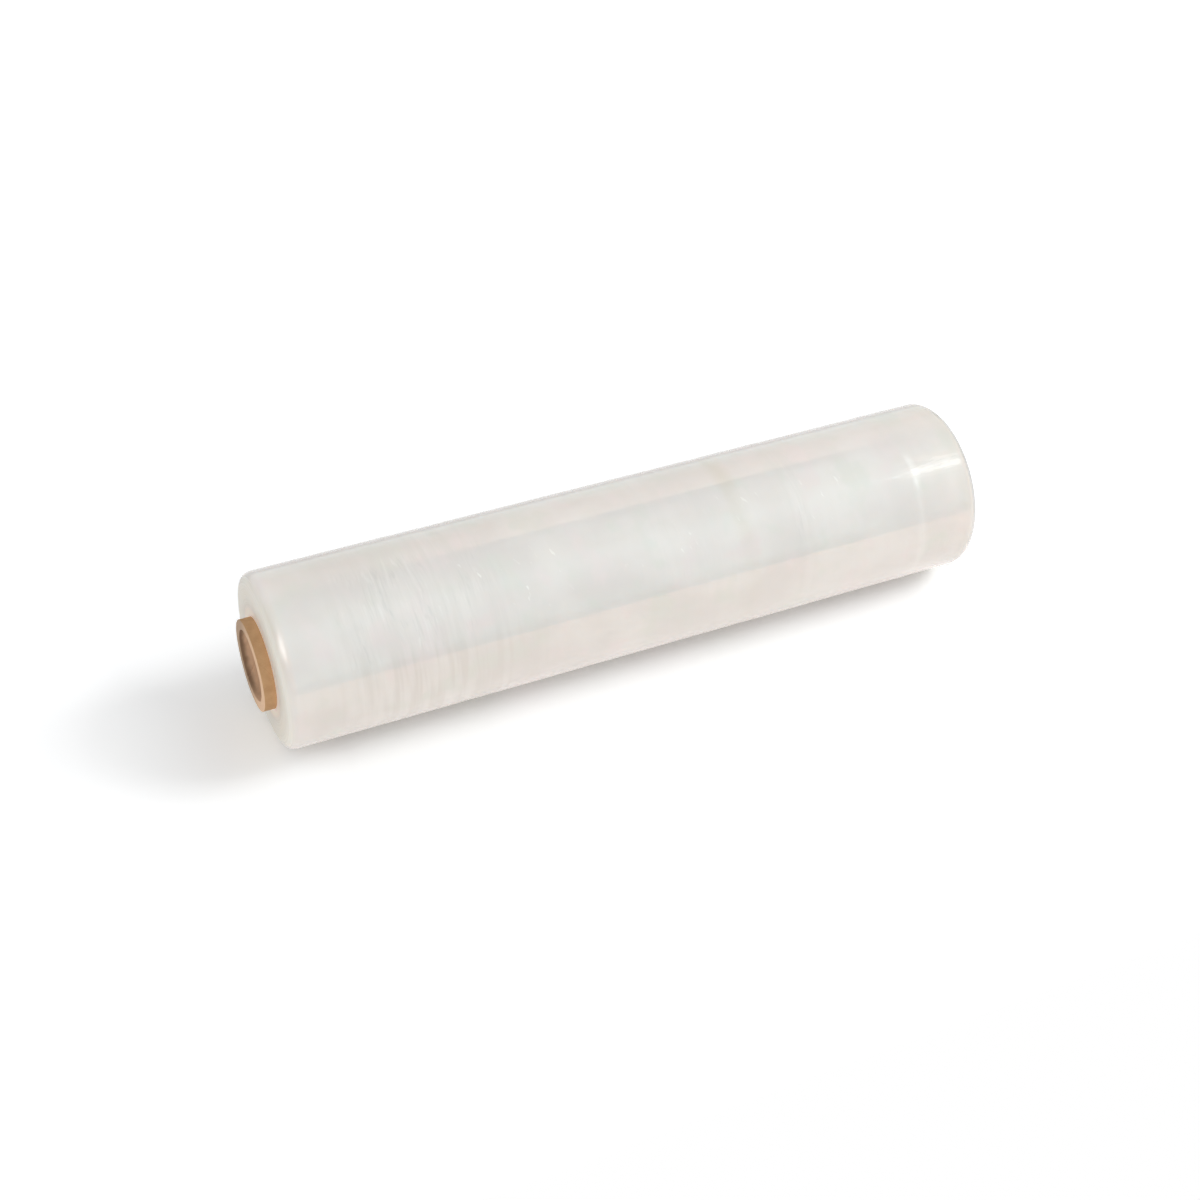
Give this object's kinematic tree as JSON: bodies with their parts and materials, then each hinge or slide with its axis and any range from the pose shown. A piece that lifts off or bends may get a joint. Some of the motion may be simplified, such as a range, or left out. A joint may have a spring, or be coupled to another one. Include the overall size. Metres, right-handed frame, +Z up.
{
  "type": "stretch wrap roll",
  "caption": "Hand roll of clear stretch film wound on a paper core that stands out at each end, lying on its side.",
  "frame": {"origin": "on the floor under the middle of the roll, at the centre of the flat spot it rests on", "axes": "+X along the core's axis, +Y towards the back, +Z up"},
  "size_m": [0.413, 0.095, 0.0942],
  "materials": {
    "kraft_core": "matt brown kraft paper, spirally wound, with paler cut edges",
    "stretch_film": "clear film that reads as milky off-white in the wound thickness, glossy, with fine streaks round the roll"
  },
  "bodies": {
    "root": {"core": "kraft_core", "film_roll": "stretch_film"}
  },
  "joints": []
}
